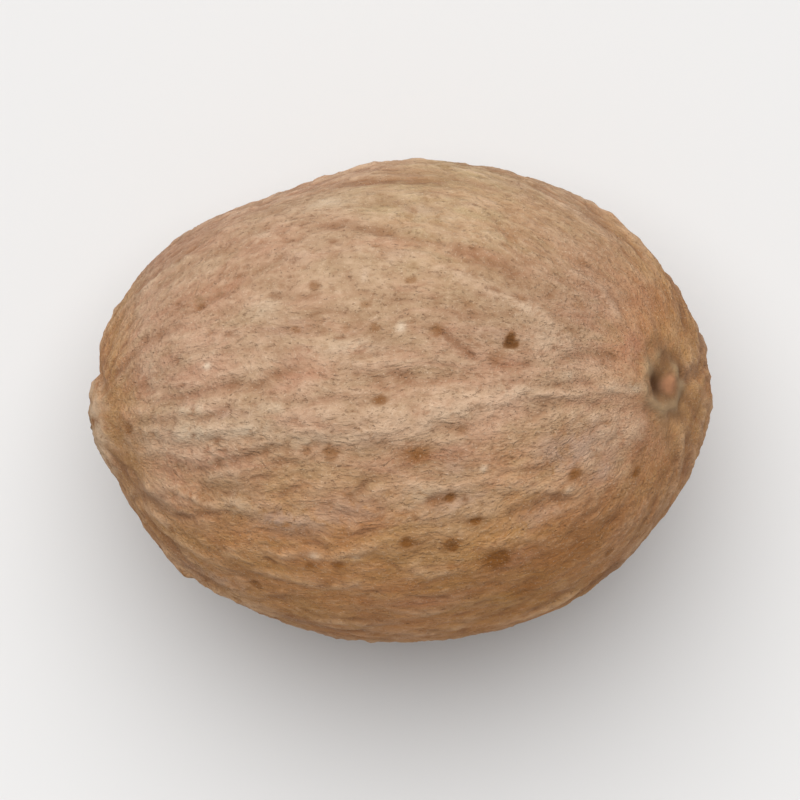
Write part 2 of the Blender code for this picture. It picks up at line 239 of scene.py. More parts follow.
# Marks of each paint seen from above, in mm: x, y, half length, half width and strength.
MARKS = {
    "red": (
        (-9.2, 5, 1.6, 0.7, 0.8), (-12.1, 1.4, 0.9, 1.2, 0.5), (-4.8, 1.25, 1.4, 0.35, 0.9),
        (-8.2, 0.6, 1.2, 0.3, 0.5), (-0.8, 7.6, 1.6, 0.4, 0.8), (3.6, 6.9, 2.2, 0.7, 0.7),
        (4.9, 1.7, 1.1, 0.25, 1), (11.1, 2.7, 0.7, 1, 1.2), (11.6, 4.9, 0.8, 1.4, 0.6),
        (-8.9, -2.75, 2.2, 0.6, 1.3), (0, -3.1, 1.6, 0.4, 0.6), (1.9, -2.6, 1.4, 0.4, 0.6),
        (5.4, -7.6, 1.6, 0.8, 0.8), (10.4, -6.3, 0.8, 0.6, 0.6), (-9.6, -5.8, 1.2, 0.6, 0.4),
        (-11, -4, 1.6, 1.5, 0.9), (11.2, -1.2, 0.9, 0.7, 0.8), (12.8, -0.6, 0.5, 0.5, 0.6),
        (1.4, -9.6, 2.4, 0.5, 0.6), (12.2, -2.3, 0.8, 1.3, 0.6), (0.4, 0.7, 2.4, 0.3, 0.5),
    ),
    "ochre": (
        (0.75, -2.6, 0.75, 0.48, 0.7), (4.6, -7.6, 0.6, 0.5, 1.6), (0.4, -7, 0.8, 0.4, 0.4),
        (2.4, -6.9, 0.45, 0.35, 1.3), (-7.7, -8, 1.1, 0.5, 0.6), (8.3, -3.5, 0.35, 0.35, 0.6),
        (1.7, -4.9, 0.4, 0.22, 0.5), (3.6, -5.75, 0.42, 0.22, 0.7), (0.3, -6.75, 0.3, 0.25, 1),
        # The broad ochre marks at (9, -6.6) and (4, -8.6) are partly the skin's ochre tone, partly painted
        # shade and warm reflected light on the lower side.
        (11.2, -3.45, 0.4, 0.32, 0.55), (-12.8, -2, 0.8, 0.8, 0.05), (9, -6.6, 2.6, 1.6, 0.45),
        (13.2, 4, 0.8, 2, 0.3), (6, -9.1, 0.9, 0.6, 0.7), (-13, -1.4, 0.35, 0.4, 0.3),
        (12.95, 0.15, 0.4, 0.32, 1), (12.9, -3.2, 0.8, 1.6, 0.25), (4, -8.6, 3.5, 1, 0.25),
        (7.5, 6.2, 3, 1.6, 0.08), (-4.35, -7.95, 0.35, 0.3, 0.5), (-2.9, -8, 0.35, 0.3, 0.5),
        (-3.45, -8.7, 0.3, 0.22, 0.5), (-3, -6.55, 0.35, 0.2, 0.5),
    ),
    "bloom": (
        # Four bloom marks are painted light that lifts shaded spots: (-12, -1.6) on the knob's underside,
        # (-4.2, -1.9) below the raphe crest, (-12, 1.4) at the left limb and (-6.7, 7.9) at the upper left
        # limb.
        (-2.2, 2.5, 1.8, 0.35, 0.8), (-10, -0.45, 1.5, 0.28, 1), (-12, -1.6, 0.9, 0.5, 0.5),
        (-9.3, 2.3, 0.9, 0.4, 0.4), (-6.7, 7.9, 0.9, 0.6, 0.5), (-4.2, -1.9, 1.6, 0.4, 0.6),
        (-12, 1.4, 0.8, 0.8, 0.4), (-9.8, -1.5, 1.7, 0.34, 1.5), (-7.2, -1.4, 1.4, 0.3, 1.2),
        (-6, -0.35, 1.3, 0.3, 0.8), (5.1, 0.5, 1, 0.3, 0.8), (2, -0.5, 1.2, 0.35, 0.6),
        (10, 0.6, 1.6, 0.3, 0.5), (-3.6, 9.4, 1.1, 0.5, 0.9), (1.3, 9, 1.2, 0.5, 0.6),
        (5.7, 4.4, 1.1, 0.5, 0.6), (9, -2.2, 1.4, 0.6, 0.6), (-7.6, -4.8, 0.8, 0.6, 0.6),
        (1, -4.4, 0.8, 0.5, 0.6), (-6.5, 4.4, 0.8, 0.6, 0.7), (7, 3, 0.8, 0.5, 0.7), (8, 1.2, 0.3, 0.2, 0.8),
        (0.5, 8, 5, 2, 0.25), (11.15, 0.6, 0.6, 0.25, 0.9),
    ),
    "lilac": (
        (8.6, -1.8, 1, 0.5, 0.9), (8.3, -2.7, 0.9, 0.5, 1), (9.7, -3.3, 0.7, 0.6, 0.9),
        (-8.1, -0.65, 1.6, 0.25, 0.9), (2.8, -4.8, 1.6, 0.4, 0.7), (2.6, -3.1, 0.6, 0.7, 0.6),
        (-6, -5.6, 0.8, 0.5, 0.7), (-4.8, 7, 1.3, 0.6, 0.5), (-5.6, 3.5, 1.4, 0.5, 0.6),
        (-8.9, -8.4, 2.4, 0.8, 0.6), (-5, -5.9, 2, 0.8, 0.6), (-2.4, -5.2, 1.8, 0.9, 0.7),
        (6.4, -5.6, 1.8, 0.5, 0.6), (7.2, -2.4, 0.8, 0.9, 0.9), (4.5, 3.1, 1, 0.5, 0.5),
        (10, 4.6, 0.6, 0.8, 0.5),
    ),
    "dust": (
        (-9.25, 1.65, 0.18, 0.16, 1.2), (0, 3.5, 0.18, 0.2, 1.1), (3.95, -3.25, 0.16, 0.15, 0.8),
        (-4.15, -7.35, 0.24, 0.18, 0.6), (-2.15, -7.5, 0.22, 0.16, 0.4), (8, -4.25, 0.24, 0.15, 0.4),
        (-1.75, 5.9, 0.14, 0.26, 0.4), (0.45, -5.1, 0.18, 0.14, 0.3),
    ),
    # Darker marks: partly painted shade, partly darker skin.
    "shade": (
        (3.9, 2.9, 2.4, 1.3, 1.25), (7.6, 3.2, 1.8, 1.2, 0.55), (3.7, 5.6, 1.8, 1, 0.6),
        (3.8, -5.6, 2.6, 0.9, 0.5), (0, -7.2, 1.6, 0.6, 0.4), (7.2, 6.2, 2, 1.2, 0.4),
    ),
    "rim": (
        (12, 1.5, 0.34, 0.26, 1.3), (12.1, -0.05, 0.36, 0.22, 0.8), (13.4, 0.8, 0.2, 0.3, 0.6),
        (13.4, 1.45, 0.3, 0.36, -0.9), (13.1, 0.5, 0.24, 0.5, -0.7), (12.6, 2, 0.4, 0.3, -0.6),
    ),
}

# Pits seen from above, in mm: x, y, half length, half width and depth. They are warm brown
# inside, and darker the deeper they are.
NAMED_PITS = (
    (5.24, 2.76, 0.28, 0.28, 0.17), (5.35, 3.1, 0.18, 0.18, 0.05), (4.6, 2.1, 0.45, 0.3, 0.04),
    (-1, 0, 0.24, 0.17, 0.08), (0.75, -2.6, 0.6, 0.4, 0.02), (2.5, -2.65, 0.5, 0.2, 0.03),
    (-3.4, -2.5, 0.32, 0.32, 0.06), (-4.5, -2.4, 0.22, 0.2, 0.05), (8.3, -3.45, 0.34, 0.26, 0.045),
    (11.2, -3.45, 0.24, 0.2, 0.045), (4.75, -7.5, 0.42, 0.36, 0.05), (2.45, -6.9, 0.3, 0.24, 0.1),
    (9.9, -7.2, 0.24, 0.2, 0.06), (0.3, -6.75, 0.24, 0.2, 0.06), (2.34, -4.65, 0.26, 0.18, 0.09),
    (3.05, -4.65, 0.12, 0.2, 0.055), (3.6, -5.75, 0.3, 0.16, 0.045), (1.65, 3.35, 0.3, 0.26, 0.06),
    (-3, -7.85, 0.32, 0.22, 0.045), (-4.3, -7.9, 0.22, 0.16, 0.04), (-6.9, -8.8, 0.3, 0.24, 0.07),
    (0.7, -5.6, 0.24, 0.18, 0.05), (-1.2, 3.5, 0.24, 0.2, 0.05), (-2.6, 3.5, 0.2, 0.18, 0.04),
    (-5, 3.35, 0.22, 0.16, 0.05), (-4.2, 5.4, 0.24, 0.22, 0.06), (-9.6, 4.5, 0.22, 0.2, 0.06),
    (-1.7, 4.6, 0.22, 0.2, 0.05), (0.5, 5.8, 0.22, 0.22, 0.05), (3.3, 4.6, 0.32, 0.26, 0.045),
    (8.65, 6.6, 0.3, 0.24, 0.035), (8.5, 4.5, 0.3, 0.26, 0.04), (5.3, 7.65, 0.3, 0.24, 0.04),
    (5.8, 4.85, 0.18, 0.18, 0.055), (-12.95, -1.35, 0.34, 0.26, 0.05), (2.9, -1.4, 0.26, 0.18, 0.03),
)
DARK_FROM_DEPTH = 0.04
DARK_PAINT = 6.5
WARM_PAINT = 10.0

# Pits strewn over the whole skin: how many, their least and greatest half length, half
# width and depth, and how far their paint spreads.
PIT_SEED = 5
STREWN_PITS = 110
STREWN_LENGTH = (0.1, 0.5)
STREWN_WIDTH = (0.06, 0.11)
STREWN_DEPTH = (0.03, 0.08)
STREWN_SPREAD = 1.2

# The chalaza, in mm: its pit and nubs (x, y, half size, depth or height), then the pale rim
# and the groove round them (how far out, half width, strength). Crumples raise the rim and
# fill the groove: what there is without one, and what a full one adds.
CHALAZA_PIT = (12.32, 0.82, 0.76, 0.4)
PIT_PAINT = (0.78, 0.8, 1.2)
CHALAZA_NUBS = ((12.84, 0.86, 0.32, 0.34), (12.82, 0.58, 0.24, 0.24))
NUB_PAINT = 3.6
NUB_CLEARS_PIT = 2.0
CHALAZA_MIDDLE = (12.5, 0.8)
CHALAZA_RIM = (1.2, 0.28, 1.0)
RIM_HEIGHT = 0.15
CHALAZA_GROOVE = (1.8, 0.35, 1.0)
GROOVE_HEIGHT = -0.14
CRUMPLE_SIZE = 0.6
CRUMPLE = (-0.35, 0.3)
RIM_CRUMPLE = (0.35, 0.9)
GROOVE_CRUMPLE = (1.1, -0.8)

# What is left of the groove towards the raphe, and where it fades; its paint, the paint
# inside it, and its dark patches.
GROOVE_LEFT = 0.3
GROOVE_FADE = (-1.4, -0.6)
GROOVE_PAINT = 0.12
INNER_PAINT = (0.0, 0.8, 0.38)
GROOVE_MARK_DEPTH = 0.08
GROOVE_MARKS = (
    (12.35, 2.5, 0.65, 0.4, 0.8), (11.8, 2, 0.35, 0.3, 0.5), (13.1, 2, 0.45, 0.4, 0.9),
    (13.42, 1.45, 0.36, 0.4, 1.3), (13.4, 0.2, 0.3, 0.5, 0.6), (13.45, -0.75, 0.4, 0.38, 0.7),
    (12.2, -1.4, 0.4, 0.35, 0.4), (12.8, -1.75, 0.45, 0.4, 0.7), (11.4, -2.7, 0.6, 0.3, 0.4),
    (12.75, 0.2, 0.25, 0.14, 0.6), (13.2, 0.5, 0.16, 0.45, 0.6), (12.65, 2.1, 0.4, 0.3, 0.6),
)

# The hilum, in mm: its knob, pale patch, scar, the groove round it and the furrows that run
# into it (how far out, half width, height or strength), and the notches beside the knob
# (side, how far out, half width, depth), with no side this near its middle.
HILUM_REACH = 2.5
HILUM_KNOB = (0.0, 1.6, 0.18)
HILUM_PATCH = (1.2, 3.24)
HILUM_PATCH_SWAY = 1.1
HILUM_SCAR = (0.0, 0.55, -0.16)
HILUM_SCAR_PAINT = (0.0, 0.3, 0.55)
HILUM_GROOVE = (1.25, 0.22, -0.08)
HILUM_GROOVE_PAINT = (1.25, 0.2, 0.7)
HILUM_CELLS = (0.55, 3.0, 90.0)
HILUM_FURROWS = (2.0, 1.3, 0.07)
NOTCHES = ((1.0, 2.8, 0.3, 0.3), (-1.0, 2.6, 0.55, 0.12))
NOTCH_SIDE = (0.45, 0.9)
NOTCH_NEAREST = 0.1
NOTCH_PAINT = (1.2, 0.7)

# Where the skin is warmer, more olive or darker: how much at most, and where that begins
# and is full, in mm, or on the ball for the underside. Edges sway by chance. The warmth is
# mostly painted warm reflected light, partly the skin's own browner tone; the darkening is
# partly painted shade, partly darker skin.
TONE_BUMPS = 5.0
LOWER_SWAY = 2.5
END_SWAY = 1.5
OLIVE_SWAY = 2.0
LEFT_SLANT = 0.25
WARMTH = 0.87
WARM_LOWER = (1.0, 0.0, 8.0)
WARM_RIGHT = (0.9, 8.5, 12.5)
WARM_LEFT = (0.8, 10.0, 13.5)
WARM_BELLY = (0.5, 0.0, 0.6)
PALE_UNDER = (0.35, -0.1, 0.5)
WARM_CORNER = ((0.13, 0.0, 7.0), (1.0, 3.0, 7.0))
OLIVE_CORNER = ((1.0, 4.5, 8.5), (1.0, -4.0, 1.0))
DARK_FLANK = ((1.0, 3.0, 8.0), (1.0, 2.5, 5.5))
FLANK_MIDDLE = -0.2
DARK_SHOULDER = ((0.4, 3.0, 7.0), (1.0, 2.5, 5.0))
DARK_FOOT = (0.6, 5.0, 10.0)

# The paints that the skin's points carry, each from 0 to 1.
PAINTS = (
    "crest", "hollow", "pit", "red", "ochre", "bloom", "lilac", "dust", "hilum", "rim", "ring", "nub",
    "ends", "drawn", "warm", "olive", "shade",
)

# Colours of the skin, linear, and tints that colours are multiplied by.
COLOURS = {
    "pink brown": (0.452, 0.256, 0.163),
    "olive brown": (0.402, 0.268, 0.160),
    # This brown is the skin's darker furrow tone and also the colour of painted shade in hollows, fold
    # valleys and darker flanks.
    "furrow and shade brown": (0.215, 0.095, 0.042),
    # The ridge colours are paler ridge skin and also painted light on crests.
    "ridge beige": (0.605, 0.422, 0.288),
    "ridge tan": (0.570, 0.355, 0.200),
    "rubbed red": (0.425, 0.192, 0.112),
    "ochre brown": (0.205, 0.074, 0.012),
    "lime bloom": (0.555, 0.425, 0.295),
    "lilac grey": (0.450, 0.297, 0.214),
    "speck brown": (0.130, 0.070, 0.040),
    "dust cream": (0.680, 0.545, 0.405),
    "hilum cream": (0.700, 0.500, 0.330),
    "rim olive": (0.440, 0.325, 0.190),
    "ring brown": (0.200, 0.095, 0.040),
    "pit brown": (0.120, 0.048, 0.014),
    "nub orange": (0.640, 0.300, 0.150),
}
# The warm tint is mostly painted warm reflected light, partly the skin's own browner tone.
TINTS = {"warm tint": (1.070, 0.795, 0.350), "olive tint": (0.980, 1.060, 0.920)}

# Clouds of tone: how they lie, the size of their lumps in mm, detail, roughness and twist.
DRAWN_OUT = {"grain": 0.42, "crinkle": 0.72}
CLOUDS = {
    "patches": ("even", 6.0, 2.0, 0.55, 0.0),
    "blotches": ("grain", 2.4, 3.0, 0.6, 0.6),
    "tint": ("grain", 1.3, 3.0, 0.6, 0.5),
    "mottle": ("even", 0.8, 4.0, 0.7, 0.4),
    "streaks": ("grain", 0.6, 4.0, 0.65, 0.4),
    "flecks": ("crinkle", 0.26, 3.0, 0.7, 0.0),
    "points": ("crinkle", 0.2, 2.0, 0.6, 0.0),
    "specks": ("crinkle", 0.34, 2.0, 0.6, 0.3),
    "grit": ("even", 0.1, 3.0, 0.7, 0.0),
}

# Rounded folds, drawn out or plain, in two sizes: detail, roughness and twist, how wide
# their valleys are and how much they count.
DRAWN_FOLDS = 0.95
PLAIN_FOLDS = 0.7
COARSE_FOLDS = (1.0, 0.5, 0.7)
COARSE_VALLEYS = 0.16
COARSE_SHARE = 0.6
FINE_FOLDS = (1.0, 0.5, 0.5)
FINE_VALLEYS = 0.18
FINE_SHARE = 0.4

# Coats, in their order: the colour, its share and where it lies, then the cloud that breaks
# it up, if one does, and where in it the coat begins and is full.
# Chance coats thin out where the marks are drawn, and dark ones where there is bloom.
GROUND = (0.38, 0.62)
FLECKS = (0.43, 0.3)
POINTS = (0.3, 0.24)
DRAWN_CALM = 0.35
BLOOM_CALM = 0.7
COATS = (
    ("furrow and shade brown", 0.4, "chance", "blotches", 0.48, 0.3),
    ("ridge beige", 0.42, "chance", "blotches", 0.52, 0.72),
    ("furrow and shade brown", 0.4, "chance", "mottle", 0.49, 0.28),
    ("ridge beige", 0.38, "chance", "mottle", 0.52, 0.72),
    ("furrow and shade brown", 0.4, "all over", "streaks", 0.46, 0.28),
    ("ridge beige", 0.42, "all over", "streaks", 0.54, 0.74),
    # Mostly painted warm reflected light, partly the skin's own browner tone.
    ("warm tint", 1.0, "warm"),
    ("olive tint", 1.0, "olive"),
    # Partly painted shade, partly darker skin.
    ("furrow and shade brown", 0.27, "shade"),
    ("rubbed red", 0.75, "red", "streaks", 0.3, 0.55),
    # Paler crests: partly ridge skin, partly painted light.
    ("ridge", 0.72, "crest", "mottle", 0.25, 0.52),
    ("lime bloom", 0.8, "bloom", "mottle", 0.33, 0.58),
    ("lilac grey", 0.8, "lilac", "mottle", 0.33, 0.58),
    # Darker in the folds' valleys: partly darker skin, partly painted shade.
    ("furrow and shade brown", 0.1, "valleys"),
    ("furrow and shade brown", 0.28, "calm", "specks", 0.47, 0.3),
    ("ridge", 0.28, "all over", "specks", 0.53, 0.7),
    # Darker in hollows: partly darker furrow skin, partly painted shade.
    ("furrow and shade brown", 0.66, "hollow"),
    ("ochre brown", 0.9, "ochre", "mottle", 0.2, 0.44),
    ("furrow and shade brown", 0.4, "flecks", "tint", 0.38, 0.58),
    ("speck brown", 0.5, "points"),
    ("dust cream", 0.4, "all over", "grit", 0.58, 0.72),
    ("dust cream", 0.75, "dust"),
    ("hilum cream", 0.75, "hilum", "mottle", 0.3, 0.55),
    ("ring brown", 0.8, "ring"),
    ("rim olive", 0.5, "rim"),
    ("pit brown", 0.96, "pit"),
    ("nub orange", 1.0, "nub"),
)

# What the bump is made of, and how much of the folds goes at both ends.
BUMP_DISTANCE = 0.11 * MM
BUMP_FOLDS = 0.36
BUMP_FOLDS_LOST = 0.12
BUMP_SHARES = {
    "streaks": 0.45, "specks": 0.6, "mottle": 0.6, "flecks": -0.3, "points": -0.4, "grit": 0.4,
}

# The skin is a little less dull on crests and in pale mottles.
ROUGHNESS = 0.9
CREST_SHINE = 0.12
MOTTLE_SHINE = 0.1
SHINING_MOTTLES = (0.45, 0.7)
SPECULAR = 0.1
SHEEN = 0.03
SHEEN_ROUGHNESS = 0.6

FLOOR_COLOUR = (0.665, 0.660, 0.655)
FLOOR_ROUGHNESS = 0.9
FLOOR_SPECULAR = 0.1
FLOOR_SIZE = 4.0
LIGHT_STRENGTH = 3.44
LIGHT_SPREAD = math.radians(62.0)
LIGHT_FROM = (-0.06, 0.44, 1.0)
BACKDROP = ((0.02, (0.860, 0.855, 0.850, 1.0)), (0.30, (0.300, 0.300, 0.302, 1.0)))

CAMERA_LENS = 250.0
CAMERA_SENSOR = 36.0
CAMERA_NEAREST = 0.01
FRAME_SHARE = 0.78


def bell(distance, spread):
    """1 at no distance, falling smoothly to almost nothing at twice the spread."""
    return math.exp(-0.5 * (distance / spread) ** 2)


def band(distance, place, width, height):
    """This high at a place, falling smoothly to both sides of it."""
    return height * bell(distance - place, width)


def ease(value, low, high):
    """0 up to low, 1 from high on, and a smooth slope between them."""
    share = min(1.0, max(0.0, (value - low) / (high - low)))
    return share * share * (3.0 - 2.0 * share)


def part(value, most, low, high):
    """0 up to low, and this much from high on."""
    return most * ease(value, low, high)


def patches(facing, fineness, offset, low, high):
    """0 in some patches of the ball and 1 in others."""
    return ease(noise.noise(facing * fineness + Vector(offset)), low, high)


def camera_place(low, high):
    """Straight above, where the nutmeg's length fills its share of the frame."""
    distance = (high.x - low.x) / FRAME_SHARE * CAMERA_LENS / CAMERA_SENSOR
    return (low + high) / 2.0 + Vector((0.0, 0.0, distance))


class Flow:
    """Where a direction lies among the lines that run from the hilum to the chalaza."""

    def __init__(self, facing):
        bent = facing.copy()
        for size, shift in BENDS:
            bent += noise.noise_vector(facing / size) * shift
        bent.normalize()
        from_hilum = bent - HILUM
        from_chalaza = bent - CHALAZA
        apart = max(NEAREST, from_hilum.length * from_chalaza.length)
        turn = math.atan2(from_hilum.dot(SIDEWAYS), from_hilum.dot(UPWARDS))
        self.across = Vector((math.cos(turn), math.sin(turn)))
        self.along = math.log(max(NEAREST, from_hilum.length) / max(NEAREST, from_chalaza.length))
        self.tightness = min(TIGHTEST, (CHALAZA - HILUM).length / apart)

    def place(self, cells, stretch, offset):
        """The spot on a tube whose girth is a round of the nutmeg, for noise to be read at."""
        return Vector((self.across.x * cells, self.across.y * cells, self.along * cells / stretch + offset))

    def cells(self, width, stretch, offset):
        """Noise in cells this wide in mm, drawn out along the lines. The lines close up towards
        both ends, so noise of two sizes is blended by how close they are."""
        level = max(0.0, math.log2(MEAN_RADIUS / (width * MM * self.tightness)))
        coarse = 2.0 ** math.floor(level)
        share = level - math.floor(level)
        total = (1.0 - share) * noise.noise(self.place(coarse, stretch, offset))
        total += share * noise.noise(self.place(2.0 * coarse, stretch, offset))
        return total / math.hypot(share, 1.0 - share)


def tag_bake_map(bm):
    """Lays the cube's six sides out three by two on a map, with a margin round each."""
    layer = bm.loops.layers.uv.new("OFBake")
    for face in bm.faces:
        middle = face.calc_center_median()
        axis = max(range(3), key=lambda way: abs(middle[way]))
        side = 2 * axis + (middle[axis] > 0.0)
        for loop in face.loops:
            across = 0.5 + 0.5 * MAP_FILLED * loop.vert.co[(axis + 1) % 3]
            up = 0.5 + 0.5 * MAP_FILLED * loop.vert.co[(axis + 2) % 3]
            loop[layer].uv = ((side % 3 + across) / 3.0, (side // 3 + up) / 2.0)


def blow_up(corner):
    """Takes a point on a cube to the ball, evenly, then leans it towards the top."""
    even = Vector([math.tan(share * math.pi / 4.0) for share in corner]).normalized()
    return (even + Vector((0.0, 0.0, TOP_LEAN))).normalized()


def solid_tree(node):
    """The CAD solid's faces, merged, ready for rays."""
    bm = bmesh.new()
    bm.from_mesh(node.data)
    bmesh.ops.remove_doubles(bm, verts=bm.verts[:], dist=MERGE_DISTANCE)
    tree = BVHTree.FromBMesh(bm)
    bm.free()
    return tree


class Skin:
    """The nutmeg's skin while it is made: its mesh, where its points face, and their paint."""

    def __init__(self, node):
        self.low, self.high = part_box(node.name)
        self.middle = (self.low + self.high) / 2.0
        self.reach = (self.high - self.low) / 2.0
        self.solid = solid_tree(node)
        self.bm = bmesh.new()
        bmesh.ops.create_cube(self.bm, size=2.0)
        bmesh.ops.subdivide_edges(self.bm, edges=self.bm.edges[:], cuts=SKIN_CUTS, use_grid_fill=True)
        tag_bake_map(self.bm)
        self.bm.verts.index_update()
        self.facing = [blow_up(vert.co) for vert in self.bm.verts]
        self.flow = [Flow(facing) for facing in self.facing]
        self.height = [0.0] * len(self.facing)
        self.paint = {name: [0.0] * len(self.facing) for name in PAINTS}
        self.lay_on_solid()

    def lay_on_solid(self):
        """Brings every point to the CAD solid's surface and smooths the facets away."""
        for vert, facing in zip(self.bm.verts, self.facing):
            vert.co = self.solid.ray_cast(self.middle, facing * self.reach)[0]
        for _ in range(FORM_SMOOTHING):
            axes = {"use_axis_x": True, "use_axis_y": True, "use_axis_z": True}
            bmesh.ops.smooth_vert(self.bm, verts=self.bm.verts[:], factor=0.5, **axes)
        self.bm.normal_update()
        self.form = [vert.co.copy() for vert in self.bm.verts]
        self.near = KDTree(len(self.form))
        for index, place in enumerate(self.form):
            self.near.insert(place, index)
        self.near.balance()

    def seen_by_camera(self, x, y):
        """The point of the surface that the camera sees at this place in mm from the middle."""
        eye = camera_place(self.low, self.high)
        aim = Vector((self.middle.x + x * MM, self.middle.y + y * MM, self.middle.z))
        return self.solid.ray_cast(eye, aim - eye)[0]

    def lengthwise(self, place):
        """The way that the lines run at a place on the surface."""
        offset = place - self.middle
        facing = Vector([offset[axis] / self.reach[axis] for axis in range(3)]).normalized()
        from_hilum = facing - HILUM
        from_chalaza = facing - CHALAZA
        run = from_hilum / max(NEAREST_SQUARED, from_hilum.length_squared)
        run -= from_chalaza / max(NEAREST_SQUARED, from_chalaza.length_squared)
        run = (run * self.reach).normalized()
        outward = offset.normalized()
        return (run - run.dot(outward) * outward).normalized()

    def around(self, centre, length, width):
        """Points near a spot, each with its distance from it in half lengths and half widths."""
        run = self.lengthwise(centre)
        for place, index, _ in self.near.find_range(centre, SPOT_REACH * max(length, width) * MM):
            offset = (place - centre) / MM
            along = offset.dot(run)
            across = (offset - along * run).length
            yield index, math.hypot(along / length, across / width)

    def beads(self, points):
        """Spots close together on the surface along a route, wandering a little."""
        for start, end in zip(points, points[1:]):
            steps = max(1, round((end - start).length / (BEAD_SPACING * MM)))
            for step in range(steps):
                spot = start.lerp(end, step / steps)
                spot = spot + noise.noise_vector(spot / (BEAD_BENDS * MM)) * BEAD_WANDER * MM
                yield self.solid.find_nearest(spot)[0]

    def stroke(self, points, width, strength):
        """Raises and paints a ridge along a route, or a furrow with a strength under 0. A ridge's
        paint is partly paler skin, partly painted light; a furrow's is partly darker skin, partly
        painted shade.
        """
        beads = list(self.beads(points))
        shares = {}
        for number, bead in enumerate(beads):
            taper = ease(min(number, len(beads) - 1 - number) / len(beads), *STROKE_TAPER)
            for _, index, distance in self.near.find_range(bead, STROKE_REACH * width * MM):
                here = taper * bell(distance / (width * MM), STROKE_EDGE)
                shares[index] = max(here, shares.get(index, 0.0))
        paint = self.paint["crest" if strength > 0.0 else "hollow"]
        size, evenly, by_chance = STROKE_BREAKS
        for index, share in shares.items():
            broken = share * (evenly + by_chance * noise.noise(self.form[index] / (size * MM)))
            self.height[index] += STROKE_HEIGHT * strength * broken
            paint[index] += STROKE_PAINT * abs(strength) * broken

    def brush(self, paint, centre, length, width, strength):
        """Adds a soft mark of this paint round a spot; a strength under 0 takes paint off."""
        for index, distance in self.around(centre, length, width):
            self.paint[paint][index] += strength * bell(distance, MARK_EDGE)

    def stain(self, paint, centre, length, width, strength):
        """Adds a mark of this paint with an uneven edge round a spot."""
        size, sway = STAIN_BUMPS
        for index, distance in self.around(centre, length, width):
            distance += sway * noise.noise(self.form[index] / (size * MM))
            self.paint[paint][index] += strength * (1.0 - ease(distance, *STAIN_EDGE))

    def press(self, centre, length, width, depth):
        """Presses a hollow with soft flanks round a spot; a depth under 0 raises a nub."""
        for index, distance in self.around(centre, length, width):
            self.height[index] -= depth * bell(distance, HOLLOW_EDGE)

    def finish(self):
        """Moves the points by their heights and returns the mesh, with its paint."""
        for index, vert in enumerate(self.bm.verts):
            vert.co = self.form[index] + vert.normal * self.height[index] * MM
        self.fit_to_box()
        for name, values in self.paint.items():
            layer = self.bm.verts.layers.float.new(name)
            for index, vert in enumerate(self.bm.verts):
                vert[layer] = min(1.0, max(0.0, values[index]))
        grain = self.bm.verts.layers.float_vector.new("grain")
        for index, vert in enumerate(self.bm.verts):
            vert[grain] = self.flow[index].place(1.0, 1.0, 0.0) * MEAN_RADIUS
        mesh = bpy.data.meshes.new("nutmeg_skin")
        self.bm.to_mesh(mesh)
        self.bm.free()
        mesh.shade_smooth()
        return mesh

    def fit_to_box(self):
        """Fits the skin to the CAD solid's box and presses the belly flat on the ground."""
        lows = [min(vert.co[axis] for vert in self.bm.verts) for axis in range(3)]
        highs = [max(vert.co[axis] for vert in self.bm.verts) for axis in range(3)]
        lows[2] = self.low.z
        for vert in self.bm.verts:
            for axis in range(3):
                share = (vert.co[axis] - lows[axis]) / (highs[axis] - lows[axis])
                vert.co[axis] = self.low[axis] + share * (self.high[axis] - self.low[axis])
            vert.co.z = max(self.low.z, vert.co.z)


def wrinkle(skin):
    """Furrows, the net of ridges, wrinkles and creases, all drawn out lengthwise. Their crest
    paint is partly paler skin, partly painted light; their hollow paint is partly darker skin,
    partly painted shade.
    """
    net_crest, worm_crest, top_crest = CREST_SHARES
    crease_hollow, gap_hollow, bottom_hollow = HOLLOW_SHARES
    for index, (facing, flow) in enumerate(zip(skin.facing, skin.flow)):
        strength = NET_FAINTEST + (1.0 - NET_FAINTEST) * patches(facing, *NET_PATCHES)
        ridge = strength * bell(flow.cells(*NET_CELLS), NET_SHARPNESS)
        small = flow.cells(*WRINKLE_CELLS)
        worm = 1.0 - min(1.0, abs(flow.cells(*WORM_CELLS)) / WORM_SHARPNESS)
        crease = patches(facing, *CREASE_PATCHES) * bell(flow.cells(*CREASE_CELLS), CREASE_SHARPNESS)
        total = FURROW_HEIGHT * flow.cells(*FURROW_CELLS) + NET_HEIGHT * ridge
        total += WRINKLE_HEIGHT * small + WORM_HEIGHT * worm - CREASE_HEIGHT * crease
        total += GRAIN_HEIGHT * noise.noise(skin.form[index] / (GRAIN_SIZE * MM))

        drawn = ease(facing.z, *DRAWN_FACING)
        chance_share = 1.0 - CHANCE_LOST * drawn
        skin.height[index] += chance_share * total
        skin.paint["drawn"][index] = drawn
        skin.paint["ends"][index] = ease(flow.tightness, *TIGHT_ENDS)
        crest = net_crest * ridge + worm_crest * worm * worm + top_crest * max(0.0, small - WRINKLE_TOP)
        hollow = crease_hollow * crease + gap_hollow * (1.0 - worm) ** 2
        hollow += bottom_hollow * max(0.0, -small - WRINKLE_BOTTOM)
        skin.paint["crest"][index] += chance_share * crest
        skin.paint["hollow"][index] += chance_share * hollow


